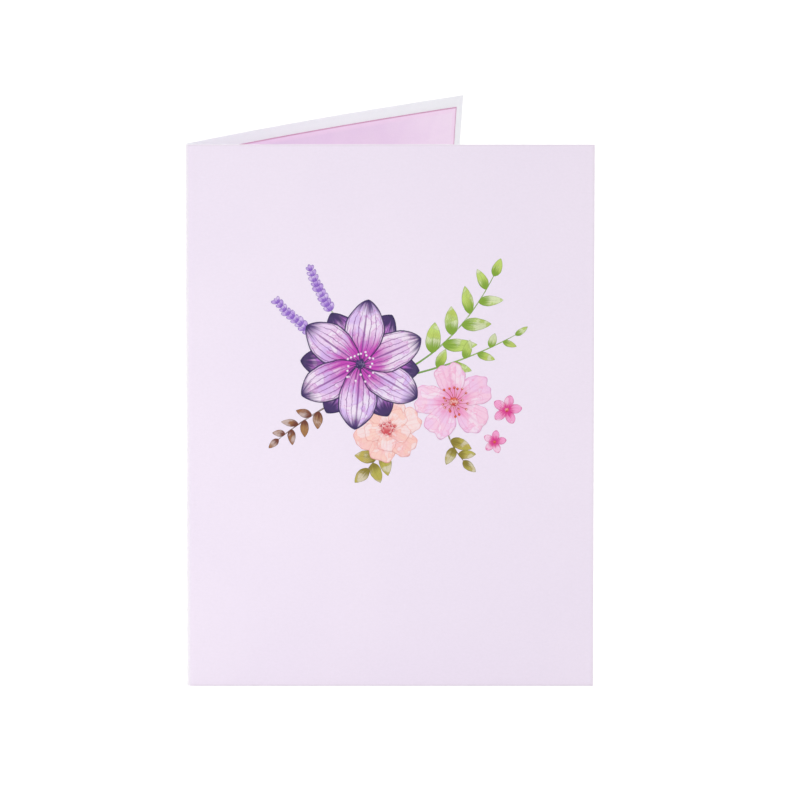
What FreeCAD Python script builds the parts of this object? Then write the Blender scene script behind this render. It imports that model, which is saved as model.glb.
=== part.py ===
import FreeCAD, Part
import math
import os
import Sketcher

# A folded greeting card, standing upright and a little open like a book, with its fold at the left.
# The cover is one sheet of card, folded once round a soft spine. The insert is one thinner sheet,
# folded in the same spine and glued inside both leaves, with a margin of the cover left round it.
# The front leaf is flat, so on each sheet it is one extrusion with the spine. The back leaf curls
# inwards towards its fore edge, most at the head, so it is a loft through three level sections.
#
# Frame, in millimetres and +Z up: the front leaf's outer face looks along -Y, the fold lies at -X
# and the card opens towards +X. The origin is the bottom centre of the card's box.

SIZES = {
    # Each leaf, from the outside of the spine to the fore edge and from foot to head.
    "leaf_width": 150.0,
    "leaf_height": 203.0,
    # The spine's outer radius, and the angle between the two leaves where they leave it.
    "spine_radius": 1.8,
    "opening_angle": 51.0,
    # The angle that the back leaf curls through on its way to its fore edge.
    "curl_foot": 1.0,
    "curl_head": 9.0,
    # The sheets' thicknesses, and the film of glue between them.
    "cover_stock": 0.35,
    "insert_stock": 0.25,
    "glue_film": 0.03,
    # The margins of the cover that the insert leaves bare.
    "head_margin": 4.2,
    "foot_margin": 4.2,
    "fore_edge_margin": 3.3,
}

doc = FreeCAD.newDocument("greeting_card")
sizes = doc.addObject("Spreadsheet::Sheet", "sizes")
for row, (alias, value) in enumerate(SIZES.items(), start=1):
    sizes.set(f"A{row}", alias)
    sizes.set(f"B{row}", str(value))
    sizes.setAlias(f"B{row}", alias)
doc.recompute()

# The back leaf's length along its outer face, from the end of the spine's arc to the fore edge.
BACK_RUN = "(sizes.leaf_width - sizes.spine_radius)"

# Each sheet's place: how deep its outer face lies under the cover's, its thickness, the margin
# left bare at its fore edges, and the heights of its foot and its head.
SHEETS = {
    "cover": {
        "depth": "0",
        "stock": "sizes.cover_stock",
        "margin": "0",
        "foot": "0",
        "head": "sizes.leaf_height",
    },
    "insert_sheet": {
        "depth": "(sizes.cover_stock + sizes.glue_film)",
        "stock": "sizes.insert_stock",
        "margin": "sizes.fore_edge_margin",
        "foot": "sizes.foot_margin",
        "head": "(sizes.leaf_height - sizes.head_margin)",
    },
}
LEVELS = ("foot", "middle", "head")

# The numbers that a sketch uses for a curve's points and for its own origin.
START, END, CENTRE = 1, 2, 3
SKETCH_ORIGIN = -1


def number(expression):
    """The value that an expression on the sizes has now."""
    return float(sizes.evalExpression(expression))


def curl_at(height):
    """The curl at a height: it grows from foot to head with the square of the height."""
    share = f"({height} / sizes.leaf_height)"
    return f"(sizes.curl_foot + (sizes.curl_head - sizes.curl_foot) * {share}^2)"


def curl_radius(curl):
    """The radius of the cover's outer face on the back leaf, where it curls through an angle."""
    return f"({BACK_RUN} * 180 / (pi * {curl}))"


def on_circle(centre, radius, angle):
    turned = math.radians(angle)
    return centre + FreeCAD.Vector(math.cos(turned), math.sin(turned), 0) * radius


def arc(centre, radius, first, last):
    circle = Part.Circle(centre, FreeCAD.Vector(0, 0, 1), radius)
    return Part.ArcOfCircle(circle, math.radians(first), math.radians(last))


def add_sketch(body, name, height):
    """An empty sketch that lies level at a height."""
    sketch = body.newObject("Sketcher::SketchObject", name)
    level_plane = next(f for f in body.Origin.OriginFeatures if f.Role == "XY_Plane")
    sketch.AttachmentSupport = [(level_plane, "")]
    sketch.MapMode = "FlatFace"
    sketch.setExpression("AttachmentOffset.Base.z", height)
    return sketch


def bind(sketch, expression, kind, *place):
    """A dimension of a sketch that follows an expression on the sizes."""
    value = number(expression)
    if kind == "Angle":
        value = math.radians(value)
    index = sketch.addConstraint(Sketcher.Constraint(kind, *place, value))
    sketch.setExpression(f"Constraints[{index}]", expression)


def add_front(body, name, sheet):
    """The front leaf and the spine: a straight run and an arc, extruded from foot to head."""
    outer_radius = f"sizes.spine_radius - {sheet['depth']}"
    inner_radius = f"sizes.spine_radius - {sheet['depth']} - {sheet['stock']}"
    edge_x = f"sizes.leaf_width - {sheet['margin']}"
    leaf_angle = "sizes.opening_angle + 90"
    radius = number("sizes.spine_radius")
    outer, inner, x = number(outer_radius), number(inner_radius), number(edge_x)
    angle = number(leaf_angle)
    centre = FreeCAD.Vector(radius, radius, 0)
    outer_y, inner_y = radius - outer, radius - inner

    sketch = add_sketch(body, f"{name}_front_outline", sheet["foot"])
    leaf_outer, spine_outer, root, spine_inner, leaf_inner, fore_edge = sketch.addGeometry([
        Part.LineSegment(FreeCAD.Vector(x, outer_y, 0), FreeCAD.Vector(radius, outer_y, 0)),
        arc(centre, outer, angle, 270),
        Part.LineSegment(on_circle(centre, outer, angle), on_circle(centre, inner, angle)),
        arc(centre, inner, angle, 270),
        Part.LineSegment(FreeCAD.Vector(radius, inner_y, 0), FreeCAD.Vector(x, inner_y, 0)),
        Part.LineSegment(FreeCAD.Vector(x, inner_y, 0), FreeCAD.Vector(x, outer_y, 0)),
    ])
    sketch.addConstraint([
        # The outline is closed.
        Sketcher.Constraint("Coincident", leaf_outer, END, spine_outer, END),
        Sketcher.Constraint("Coincident", spine_outer, START, root, START),
        Sketcher.Constraint("Coincident", root, END, spine_inner, START),
        Sketcher.Constraint("Coincident", spine_inner, END, leaf_inner, START),
        Sketcher.Constraint("Coincident", leaf_inner, END, fore_edge, START),
        Sketcher.Constraint("Coincident", fore_edge, END, leaf_outer, START),
        # The leaf is straight, square at its fore edge and tangent to the spine.
        Sketcher.Constraint("Horizontal", leaf_outer),
        Sketcher.Constraint("Horizontal", leaf_inner),
        Sketcher.Constraint("Vertical", fore_edge),
        Sketcher.Constraint("Vertical", spine_outer, END, spine_outer, CENTRE),
        Sketcher.Constraint("Vertical", spine_inner, END, spine_inner, CENTRE),
        # The spine's faces share a centre, and it ends square on a line from that centre.
        Sketcher.Constraint("Coincident", spine_inner, CENTRE, spine_outer, CENTRE),
        Sketcher.Constraint("PointOnObject", spine_outer, CENTRE, root),
    ])
    bind(sketch, "sizes.spine_radius", "DistanceX", SKETCH_ORIGIN, START, spine_outer, CENTRE)
    bind(sketch, "sizes.spine_radius", "DistanceY", SKETCH_ORIGIN, START, spine_outer, CENTRE)
    bind(sketch, outer_radius, "Radius", spine_outer)
    bind(sketch, inner_radius, "Radius", spine_inner)
    bind(sketch, edge_x, "DistanceX", SKETCH_ORIGIN, START, leaf_outer, START)
    bind(sketch, "sizes.opening_angle - 90", "Angle", root)

    pad = body.newObject("PartDesign::Pad", f"{name}_front")
    pad.Profile = sketch
    pad.setExpression("Length", f"{sheet['head']} - {sheet['foot']}")


def add_back_section(body, name, sheet, height):
    """The back leaf's outline at one height: two arcs about the centre of its curl."""
    curl = curl_at(height)
    ray_length = f"{curl_radius(curl)} - sizes.spine_radius"
    outer_radius = f"{curl_radius(curl)} - {sheet['depth']}"
    span = f"{curl} * ({BACK_RUN} - {sheet['margin']}) / {BACK_RUN}"
    ray_angle = "sizes.opening_angle + 90"
    radius = number("sizes.spine_radius")
    outer = number(outer_radius)
    inner = outer - number(sheet["stock"])
    root_angle = number(ray_angle)
    edge_angle = root_angle - number(span)
    spine_centre = FreeCAD.Vector(radius, radius, 0)
    centre = on_circle(spine_centre, -number(ray_length), root_angle)
    edge = [on_circle(centre, face, edge_angle) for face in (outer, inner)]
    root_ends = [on_circle(centre, face, root_angle) for face in (inner, outer)]

    sketch = add_sketch(body, name, height)
    leaf_outer, fore_edge, leaf_inner, root = sketch.addGeometry([
        arc(centre, outer, edge_angle, root_angle),
        Part.LineSegment(*edge),
        arc(centre, inner, edge_angle, root_angle),
        Part.LineSegment(*root_ends),
    ])
    spine_ray, edge_ray = sketch.addGeometry([
        Part.LineSegment(centre, spine_centre),
        Part.LineSegment(centre, edge[0]),
    ], True)
    sketch.addConstraint([
        # The outline is closed.
        Sketcher.Constraint("Coincident", leaf_outer, START, fore_edge, START),
        Sketcher.Constraint("Coincident", fore_edge, END, leaf_inner, START),
        Sketcher.Constraint("Coincident", leaf_inner, END, root, START),
        Sketcher.Constraint("Coincident", root, END, leaf_outer, END),
        # Both faces curl about one centre, and the fore edge is square to them.
        Sketcher.Constraint("Coincident", leaf_inner, CENTRE, leaf_outer, CENTRE),
        Sketcher.Constraint("Coincident", edge_ray, START, leaf_outer, CENTRE),
        Sketcher.Constraint("Coincident", edge_ray, END, leaf_outer, START),
        Sketcher.Constraint("PointOnObject", leaf_inner, START, edge_ray),
        # The leaf is tangent to the spine where both meet the line of their centres.
        Sketcher.Constraint("Coincident", spine_ray, START, leaf_outer, CENTRE),
        Sketcher.Constraint("PointOnObject", root, START, spine_ray),
        Sketcher.Constraint("PointOnObject", root, END, spine_ray),
    ])
    bind(sketch, "sizes.spine_radius", "DistanceX", SKETCH_ORIGIN, START, spine_ray, END)
    bind(sketch, "sizes.spine_radius", "DistanceY", SKETCH_ORIGIN, START, spine_ray, END)
    bind(sketch, ray_length, "Distance", spine_ray)
    bind(sketch, ray_angle, "Angle", spine_ray)
    bind(sketch, outer_radius, "Radius", leaf_outer)
    bind(sketch, sheet["stock"], "Distance", root)
    bind(sketch, span, "Angle", edge_ray, START, spine_ray, START)
    return sketch


def add_sheet(name, sheet):
    """One folded sheet: the front leaf and spine, with the back leaf lofted on to them."""
    body = doc.addObject("PartDesign::Body", name)
    body.Label = name
    add_front(body, name, sheet)
    heights = (sheet["foot"], f"(({sheet['foot']} + {sheet['head']}) / 2)", sheet["head"])
    sections = [
        add_back_section(body, f"{name}_back_{level}", sheet, height)
        for level, height in zip(LEVELS, heights)
    ]
    doc.recompute()
    back = body.newObject("PartDesign::AdditiveLoft", f"{name}_back")
    back.Profile = sections[0]
    back.Sections = sections[1:]
    body.Tip = back
    return body


# The card reaches furthest back at the foot, where its back leaf curls least.
FOOT_RADIUS = curl_radius("sizes.curl_foot")
CARD_DEPTH = (
    f"(sizes.spine_radius + {FOOT_RADIUS} * cos(sizes.opening_angle - sizes.curl_foot)"
    f" - ({FOOT_RADIUS} - sizes.spine_radius) * cos(sizes.opening_angle))"
)

bodies = [add_sheet(name, sheet) for name, sheet in SHEETS.items()]
for body in bodies:
    body.setExpression("Placement.Base.x", "-sizes.leaf_width / 2")
    body.setExpression("Placement.Base.y", f"-{CARD_DEPTH} / 2")
doc.recompute()

for item in doc.Objects:
    if "Invalid" in item.State or "Error" in item.State:
        raise RuntimeError(f"{item.Name} failed: {item.State}")
for body in bodies:
    if body.Shape.isNull() or not body.Shape.isValid() or len(body.Shape.Solids) != 1:
        raise RuntimeError(f"{body.Label} is not one valid solid")

os.makedirs("parts", exist_ok=True)
for body in bodies:
    body.Shape.exportStep(f"parts/{body.Label}.step")
    box = body.Shape.optimalBoundingBox(False)
    print(f"{body.Label}: {body.Shape.Volume:.1f} mm3, X {box.XMin:.2f} to {box.XMax:.2f},"
          f" Y {box.YMin:.2f} to {box.YMax:.2f}, Z {box.ZMin:.2f} to {box.ZMax:.2f}")
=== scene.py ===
# %% [markdown]
# # A folded greeting card
# The object is one sheet of pale lavender card, folded once and standing on its foot like a
# slightly open book. A thinner pink-lilac sheet is glued inside. The solids come from the
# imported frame. This lesson gives them paper, cut edges, a worn fold and a printed picture,
# and then lights the card the way a shop photographs it.

# %% Load the frame
import math

import bpy
import numpy as np
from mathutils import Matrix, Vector


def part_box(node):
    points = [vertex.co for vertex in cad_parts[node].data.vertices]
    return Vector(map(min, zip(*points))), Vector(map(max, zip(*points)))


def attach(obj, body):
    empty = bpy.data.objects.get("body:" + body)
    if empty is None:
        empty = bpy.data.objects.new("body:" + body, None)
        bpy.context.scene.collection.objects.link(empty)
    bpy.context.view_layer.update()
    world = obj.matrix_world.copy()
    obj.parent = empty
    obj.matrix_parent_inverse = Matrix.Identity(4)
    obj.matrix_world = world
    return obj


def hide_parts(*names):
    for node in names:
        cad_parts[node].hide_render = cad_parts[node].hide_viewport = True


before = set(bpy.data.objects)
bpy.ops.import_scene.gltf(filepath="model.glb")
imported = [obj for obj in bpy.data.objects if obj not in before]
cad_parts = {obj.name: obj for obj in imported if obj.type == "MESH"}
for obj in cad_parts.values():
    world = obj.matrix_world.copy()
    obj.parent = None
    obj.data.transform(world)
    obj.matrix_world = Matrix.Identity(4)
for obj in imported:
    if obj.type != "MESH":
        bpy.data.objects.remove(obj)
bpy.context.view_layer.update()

# %% [markdown]
# ## The camera
# The picture was taken from far away with a long lens, because the leaf's four corners make
# almost a true rectangle. Four corners and the back leaf's slope fix the rest: the camera
# looks straight at the front leaf from 11 degrees above it. A camera is placed by walking
# back from the point that it looks at, so that height and distance can be changed alone.

# %% Place the camera
MM = 0.001
CAMERA_RISE = math.radians(11.11)
CAMERA_DISTANCE = 4.0
LENS_MM = 483.3
LOOK_AT = Vector((3.68, -9.04, 97.98)) * MM

walk_back = Vector((0.0, -math.cos(CAMERA_RISE), math.sin(CAMERA_RISE)))
camera = bpy.data.objects.new("camera", bpy.data.cameras.new("camera"))
camera.data.lens = LENS_MM
camera.data.sensor_width = 36.0
camera.data.clip_end = 100.0
camera.location = LOOK_AT + walk_back * CAMERA_DISTANCE
camera.rotation_mode = "QUATERNION"
camera.rotation_quaternion = (-walk_back).to_track_quat("-Z", "Y")
bpy.context.scene.collection.objects.link(camera)
bpy.context.scene.camera = camera
print("camera stands at", [round(v, 3) for v in camera.location])

# %% [markdown]
# ## Small helpers for nodes
# Every finish below is a net of shader nodes. Short helpers keep those nets readable: they add
# a node and fill or link its sockets, do a sum, make an S-curve, mix two colours, or make
# cloud noise. Colours are written as a screen shows them and are turned into linear values
# once, here.


# %% Helpers for nodes and colours
def colour(red, green, blue):
    """A screen colour from 0 to 255 as linear RGBA: the sRGB curve is undone channel by channel."""
    share = np.array([red, green, blue]) / 255.0
    linear = np.where(share <= 0.04045, share / 12.92, ((share + 0.055) / 1.055) ** 2.4)
    return (*(float(v) for v in linear), 1.0)


def place(tree, kind, sockets=None, **options):
    """Adds a node. Each entry of sockets is a plain value, or an output that gets linked."""
    made = tree.nodes.new(kind)
    for name, value in options.items():
        setattr(made, name, value)
    for name, value in (sockets or {}).items():
        if isinstance(value, bpy.types.NodeSocket):
            tree.links.new(value, made.inputs[name])
        else:
            made.inputs[name].default_value = value
    return made


def calc(tree, operation, *values):
    """One Math node on one, two or three values."""
    return place(tree, "ShaderNodeMath", dict(enumerate(values)), operation=operation).outputs[0]


def rise(tree, value, low, high):
    """0 below low, 1 above high, and an S-curve between them."""
    sockets = {"Value": value, "From Min": low, "From Max": high}
    made = place(tree, "ShaderNodeMapRange", sockets, interpolation_type="SMOOTHSTEP")
    return made.outputs["Result"]


def fall(tree, value, low, high):
    """1 below low, 0 above high, and an S-curve between them."""
    return calc(tree, "SUBTRACT", 1.0, rise(tree, value, low, high))


def blend(tree, share, first, second, how="MIX"):
    """Two colours mixed by share, which is 0 for the first and 1 for the second."""
    sockets = {0: share, 6: first, 7: second}
    return place(tree, "ShaderNodeMix", sockets, data_type="RGBA", blend_type=how).outputs[2]


def noise(tree, vector, scale, detail):
    """Cloud noise from 0 to 1, a little distorted; scale counts the clouds in one unit."""
    sockets = {"Vector": vector, "Scale": scale, "Detail": detail, "Distortion": 0.5}
    return place(tree, "ShaderNodeTexNoise", sockets).outputs["Fac"]


print("a grey written as 188 is", round(colour(188, 188, 188)[0], 3), "in linear light")

# %% [markdown]
# ## Groups of nodes
# An effect that several finishes share is built once as a group. Its sockets are named, so
# that each material can set its own amounts.


# %% Start and place a group
def new_group(name, inputs, outputs):
    """An empty node group with named sockets: inputs maps each name to its starting value."""
    tree = bpy.data.node_groups.new(name, "ShaderNodeTree")
    for label, value in inputs.items():
        kind = "NodeSocketColor" if isinstance(value, tuple) else "NodeSocketFloat"
        socket = tree.interface.new_socket(label, in_out="INPUT", socket_type=kind)
        socket.default_value = value
    for label, kind in outputs.items():
        tree.interface.new_socket(label, in_out="OUTPUT", socket_type=kind)
    return tree, place(tree, "NodeGroupInput").outputs, place(tree, "NodeGroupOutput").inputs


def use(tree, group, sockets):
    """Places a group in a material with its own values, and returns its outputs."""
    return place(tree, "ShaderNodeGroup", sockets, node_tree=group).outputs


print("groups so far:", len(bpy.data.node_groups))

# %% [markdown]
# ## Floor and backdrop
# Shop pictures of pale cards are taken on a white sweep with light from all round. Here a wide
# white floor and a white world stand for the sweep. Both are pure white only to the camera,
# so the card itself is never over-lit. Near the card the floor keeps a share of real shading,
# which leaves a faint shadow at the foot, and further out that share fades into plain white.

# %% Floor
FLOOR_HALF = 6.0
FLOOR_DROP = 0.05 * MM
FLOOR_BOUNCE = 0.60
FLOOR_SHADED = 0.26
FLOOR_GLOW = 0.82
SHADOW_NEAR, SHADOW_FAR = 0.5, 1.6


def grey(level):
    """A grey in linear light; 1 is white."""
    return (level, level, level, 1.0)


def looked_at(tree):
    """1 where the camera or a reflection looks, and 0 for all other light."""
    ray = place(tree, "ShaderNodeLightPath").outputs
    return calc(tree, "MAXIMUM", ray["Is Camera Ray"], ray["Is Glossy Ray"])


floor_corners = [(x * FLOOR_HALF, y * FLOOR_HALF, -FLOOR_DROP)
                 for x, y in ((-1, -1), (1, -1), (1, 1), (-1, 1))]
floor_mesh = bpy.data.meshes.new("floor")
floor_mesh.from_pydata(floor_corners, [], [(0, 1, 2, 3)])
floor = bpy.data.objects.new("floor", floor_mesh)
bpy.context.scene.collection.objects.link(floor)

sweep = bpy.data.materials.new("white_sweep")
sweep.use_nodes = True
tree = sweep.node_tree
tree.nodes.clear()
spot = place(tree, "ShaderNodeTexCoord").outputs["Object"]
from_card = place(tree, "ShaderNodeVectorMath", {0: spot}, operation="LENGTH").outputs["Value"]
faded = calc(tree, "MULTIPLY", rise(tree, from_card, SHADOW_NEAR, SHADOW_FAR), 1.0 - FLOOR_GLOW)
lit = place(tree, "ShaderNodeBsdfDiffuse", {"Color": grey(FLOOR_BOUNCE)})
soft = place(tree, "ShaderNodeBsdfDiffuse", {"Color": grey(FLOOR_SHADED)})
glow = place(tree, "ShaderNodeEmission",
             {"Color": grey(1.0), "Strength": calc(tree, "ADD", faded, FLOOR_GLOW)})
shown = place(tree, "ShaderNodeAddShader", {0: soft.outputs[0], 1: glow.outputs[0]})
either = {0: looked_at(tree), 1: lit.outputs[0], 2: shown.outputs[0]}
mixed = place(tree, "ShaderNodeMixShader", either)
place(tree, "ShaderNodeOutputMaterial", {"Surface": mixed.outputs[0]})
floor_mesh.materials.append(sweep)
print("floor", FLOOR_HALF * 2, "m wide; its shadow fades from", SHADOW_NEAR, "to", SHADOW_FAR, "m")

# %% [markdown]
# ## The white all round
# The world stands for the sweep behind the card and for the pale room. It lights the card
# evenly from every side, at little more than half of what the camera sees.

# %% World
WORLD_FILL = 0.58

world = bpy.data.worlds.new("studio")
world.use_nodes = True
bpy.context.scene.world = world
tree = world.node_tree
tree.nodes.clear()
extra = calc(tree, "MULTIPLY", looked_at(tree), 1.0 - WORLD_FILL)
strength = calc(tree, "ADD", extra, WORLD_FILL)
sky = place(tree, "ShaderNodeBackground", {"Color": grey(1.0), "Strength": strength})
place(tree, "ShaderNodeOutputWorld", {"Surface": sky.outputs[0]})
bpy.context.scene.view_settings.view_transform = "Standard"
print("world fill", WORLD_FILL)

# %% [markdown]
# ## The lamps
# A small lamp low at the left, aimed at the front leaf's foot, makes the leaf a little brighter
# on that side and downwards, as on the real one. A wide one at the right opens up the inside,
# one overhead lets the cut edges shine white, and one behind lights the back leaf's outside.

# %% Lamps
CARD_MIDDLE = (0.0, 0.0, 0.10)
CARD_FOOT = (0.0, -0.06, 0.03)
KEY_SPREAD = math.radians(110.0)


def soft_lamp(name, place_at, aim_at, size, watts):
    """A square lamp of that size in metres at place_at, turned towards aim_at."""
    lamp = bpy.data.objects.new(name, bpy.data.lights.new(name, "AREA"))
    lamp.data.size = size
    lamp.data.energy = watts
    lamp.location = place_at
    lamp.rotation_mode = "QUATERNION"
    lamp.rotation_quaternion = (Vector(aim_at) - Vector(place_at)).to_track_quat("-Z", "Y")
    bpy.context.scene.collection.objects.link(lamp)
    print(name, watts, "W")
    return lamp


key = soft_lamp("key", (-0.58, -0.78, 0.12), CARD_FOOT, 0.22, 1.04)
key.data.spread = KEY_SPREAD
soft_lamp("fill", (1.40, -0.45, 0.55), CARD_MIDDLE, 1.0, 7.0)
soft_lamp("overhead", (0.15, 0.05, 1.50), CARD_MIDDLE, 1.0, 7.5)
soft_lamp("rear", (-1.30, 1.30, 0.60), CARD_MIDDLE, 1.0, 12.0)

# %% [markdown]
# ## The folded sheet as one surface
# Card doesn't stretch. A folded card is therefore still its flat sheet, and any point of it is
# known by two lengths: how far round from the front leaf's free edge, and how high above the
# foot. A third number says how deep in the stock the point lies. One function turns the three
# into a place: straight along the front leaf, round the small circle of the fold, and then
# along the back leaf, which curls more at the head than at the foot. The cover, the insert
# and the printed picture all use it, so they can't drift apart.

# %% The sheet's shape
cover_low, cover_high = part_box("cover")
LEAF_WIDTH = cover_high.x - cover_low.x
LEAF_HEIGHT = cover_high.z - cover_low.z
SPINE_RADIUS = 1.8 * MM
OPENING = math.radians(51.0)
CURL_FOOT = math.radians(1.0)
CURL_HEAD = math.radians(9.0)
SPINE_SWEEP = math.pi - OPENING
LEAF_RUN = LEAF_WIDTH - SPINE_RADIUS
SPINE_RUN = SPINE_RADIUS * SPINE_SWEEP
SHEET_RUN = 2 * LEAF_RUN + SPINE_RUN


def sheet_place(along, height, depth):
    """The place of a point of the folded sheet, in the row frame.

    Front leaf: x falls with along, and y is the depth. Fold: a circle of the spine's radius
    less the depth, turned through (along - leaf) / radius. Back leaf: a circle of radius
    run / curl, where curl grows with the square of the height, entered at the opening angle.
    """
    along, height, depth = np.broadcast_arrays(along, height, depth)
    turn = np.clip((along - LEAF_RUN) / SPINE_RADIUS, 0.0, SPINE_SWEEP)
    ring = SPINE_RADIUS - depth
    x = SPINE_RADIUS - ring * np.sin(turn)
    y = SPINE_RADIUS - ring * np.cos(turn)
    front = along < LEAF_RUN
    x = np.where(front, LEAF_WIDTH - along, x)
    y = np.where(front, depth, y)
    curl = CURL_FOOT + (CURL_HEAD - CURL_FOOT) * (height / LEAF_HEIGHT) ** 2
    radius = LEAF_RUN / curl
    beyond = along - LEAF_RUN - SPINE_RUN
    heading = OPENING - beyond / radius
    centre_x = SPINE_RADIUS + (radius - SPINE_RADIUS) * math.sin(OPENING)
    centre_y = SPINE_RADIUS - (radius - SPINE_RADIUS) * math.cos(OPENING)
    back = beyond > 0.0
    x = np.where(back, centre_x - (radius - depth) * np.sin(heading), x)
    y = np.where(back, centre_y + (radius - depth) * np.cos(heading), y)
    return np.stack([x + cover_low.x, y + cover_low.y, height + cover_low.z], axis=-1)


corner = sheet_place(SHEET_RUN, LEAF_HEIGHT, 0.0)
print("flat sheet", round(SHEET_RUN / MM, 2), "mm round; back leaf's head corner at",
      np.round(corner / MM, 2))

# %% [markdown]
# ## A sheet with real cut edges
# A guillotined sheet has two faces and a cut edge that shows the stock's core. A plane with a
# thickness would do from far away, but its edge is what catches the light at the head of the
# front leaf. So each sheet is two grids, one for each face, and between their borders run a
# few narrow loops that round the corners by some hundredths of a millimetre, as a blade does.
# The grid is close round the fold and wide on the flat leaf, where it has nothing to bend.

# %% Where the columns, rows and edge loops lie
EDGE_ROUND = 0.05 * MM
EDGE_STEPS = 3
FIRST_OFF_CUT = 0.4 * MM
SECOND_OFF_CUT = 2.0 * MM
FLAT_STEP = 6.0 * MM
CURL_STEP = 3.0 * MM
FOLD_STEP = 0.13 * MM


def span(start, end, step):
    """Evenly spaced values from start to end, about step apart, without the last one."""
    return np.linspace(start, end, max(2, int(round((end - start) / step))) + 1)[:-1]


def sheet_columns(start, end):
    """Where the columns lie: wide on the flat leaf, close together round the fold."""
    fold_start, fold_end = LEAF_RUN, LEAF_RUN + SPINE_RUN
    return np.concatenate([
        [start, start + FIRST_OFF_CUT],
        span(start + SECOND_OFF_CUT, fold_start, FLAT_STEP),
        span(fold_start, fold_end, FOLD_STEP),
        span(fold_end, end - SECOND_OFF_CUT, CURL_STEP),
        [end - SECOND_OFF_CUT, end - FIRST_OFF_CUT, end],
    ])


def sheet_rows(low, high):
    """Where the rows lie, with one close to each cut edge."""
    return np.concatenate([
        [low, low + FIRST_OFF_CUT],
        span(low + SECOND_OFF_CUT, high - SECOND_OFF_CUT, FLAT_STEP),
        [high - SECOND_OFF_CUT, high - FIRST_OFF_CUT, high],
    ])


def pulled_in(values, inset):
    """The same values with the first and last moved inwards by inset."""
    moved = values.copy()
    moved[0] += inset
    moved[-1] -= inset
    return moved


def round_the_edge(low, high):
    """Insets and depths of the loops from one face to the other: two quarter circles."""
    quarter = np.linspace(0.0, math.pi / 2, EDGE_STEPS + 1)
    inset = EDGE_ROUND * (1.0 - np.sin(quarter))
    depth = EDGE_ROUND * (1.0 - np.cos(quarter))
    return (np.concatenate([inset, inset[::-1]]),
            np.concatenate([low + depth, high - depth[::-1]]))


print("the cover's grid:", len(sheet_columns(0.0, SHEET_RUN)), "columns and",
      len(sheet_rows(0.0, LEAF_HEIGHT)), "rows")

# %% [markdown]
# ## From arrays to a mesh
# Blender can take a mesh point by point, but whole arrays are shorter to write and far faster.
# The mesh gets its points, its four-cornered faces, a UV map and one material for each face.
# Walls hang on a grid's border, so its points are read once round.


# %% Put arrays in a mesh
def once_round(number):
    """The border of a grid of point numbers, read once round and not closed."""
    return np.concatenate([number[0, :-1], number[:-1, -1], number[-1, :0:-1], number[:0:-1, 0]])


def put_in_mesh(name, places, faces, map_name, lengths, finishes, finish):
    """Whole arrays into a mesh: places, four-cornered faces, a UV map and the face finishes."""
    mesh = bpy.data.meshes.new(name)
    mesh.vertices.add(len(places))
    mesh.vertices.foreach_set("co", places.astype(np.float32).ravel())
    mesh.loops.add(faces.size)
    mesh.loops.foreach_set("vertex_index", faces.astype(np.int32).ravel())
    mesh.polygons.add(len(faces))
    mesh.polygons.foreach_set("loop_start", np.arange(0, faces.size, 4, dtype=np.int32))
    mesh.polygons.foreach_set("loop_total", np.full(len(faces), 4, dtype=np.int32))
    mesh.update(calc_edges=True)
    mesh.polygons.foreach_set("material_index", np.asarray(finish, dtype=np.int32))
    mesh.shade_smooth()
    layer = mesh.uv_layers.new(name=map_name)
    layer.uv.foreach_set("vector", lengths[faces.ravel()].astype(np.float32).ravel())
    for material in finishes:
        mesh.materials.append(material)
    mesh.validate()
    piece = bpy.data.objects.new(name, mesh)
    bpy.context.scene.collection.objects.link(piece)
    print(name, len(places), "points,", len(faces), "faces")
    return piece


print("a grid of 3 by 3 points has", once_round(np.arange(9).reshape(3, 3)).size, "on its border")

# %% [markdown]
# ## Close the sheet
# Each face, and the cut edge, gets a material of its own. The UV map holds the two lengths on
# the flat sheet in metres, which is what the finishes read.


# %% Build a closed sheet
def closed_sheet(name, columns, rows, low, high, finishes):
    """A sheet between two depths. finishes are for the outer face, inner face and cut edge."""
    insets, depths = round_the_edge(low, high)
    n_rows, n_columns = len(rows), len(columns)
    number = np.arange(n_rows * n_columns).reshape(n_rows, n_columns)
    border = once_round(number)
    places, lengths, loops = [], [], []
    first = 0
    for level, (inset, depth) in enumerate(zip(insets, depths)):
        crossing = np.meshgrid(pulled_in(columns, inset), pulled_in(rows, inset))
        flat = np.stack(crossing, axis=-1).reshape(-1, 2)
        whole = level in (0, len(insets) - 1)
        kept = np.arange(len(flat)) if whole else border
        places.append(sheet_place(flat[kept, 0], flat[kept, 1], depth))
        lengths.append(flat[kept])
        loops.append(first + (border if whole else np.arange(len(border))))
        first += len(kept)
    faces = np.stack(
        [number[:-1, :-1], number[1:, :-1], number[1:, 1:], number[:-1, 1:]], axis=-1
    ).reshape(-1, 4)
    inner = faces[:, ::-1] + first - len(number.ravel())
    walls = []
    for one, two in zip(loops[:-1], loops[1:]):
        walls.append(np.stack([one, np.roll(one, -1), np.roll(two, -1), two], axis=-1))
    walls = np.concatenate(walls)
    finish = np.repeat([0, 1, 2], [len(faces), len(inner), len(walls)])
    return put_in_mesh(name, np.concatenate(places), np.concatenate([faces, inner, walls]),
                       "flat_sheet", np.concatenate(lengths), finishes, finish)


print("a cut edge takes", len(round_the_edge(0.0, MM)[0]), "loops")

# %% [markdown]
# ## What all the papers share
# Smooth card still has tooth: a fine felt of fibres that makes its tone and its shine uneven
# at a few tenths of a millimetre. A sheet's finish also changes near its cuts: painted shade on
# the cover, a printed line on the insert. Both effects are node groups, so that each paper can
# have its own amount of them.


# %% Tooth and cut-edge groups
FELT_SHARE = 0.6
FELT_COARSER = 0.42
FIBRE_STRETCH = (0.22, 0.22, 1.0)


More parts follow.
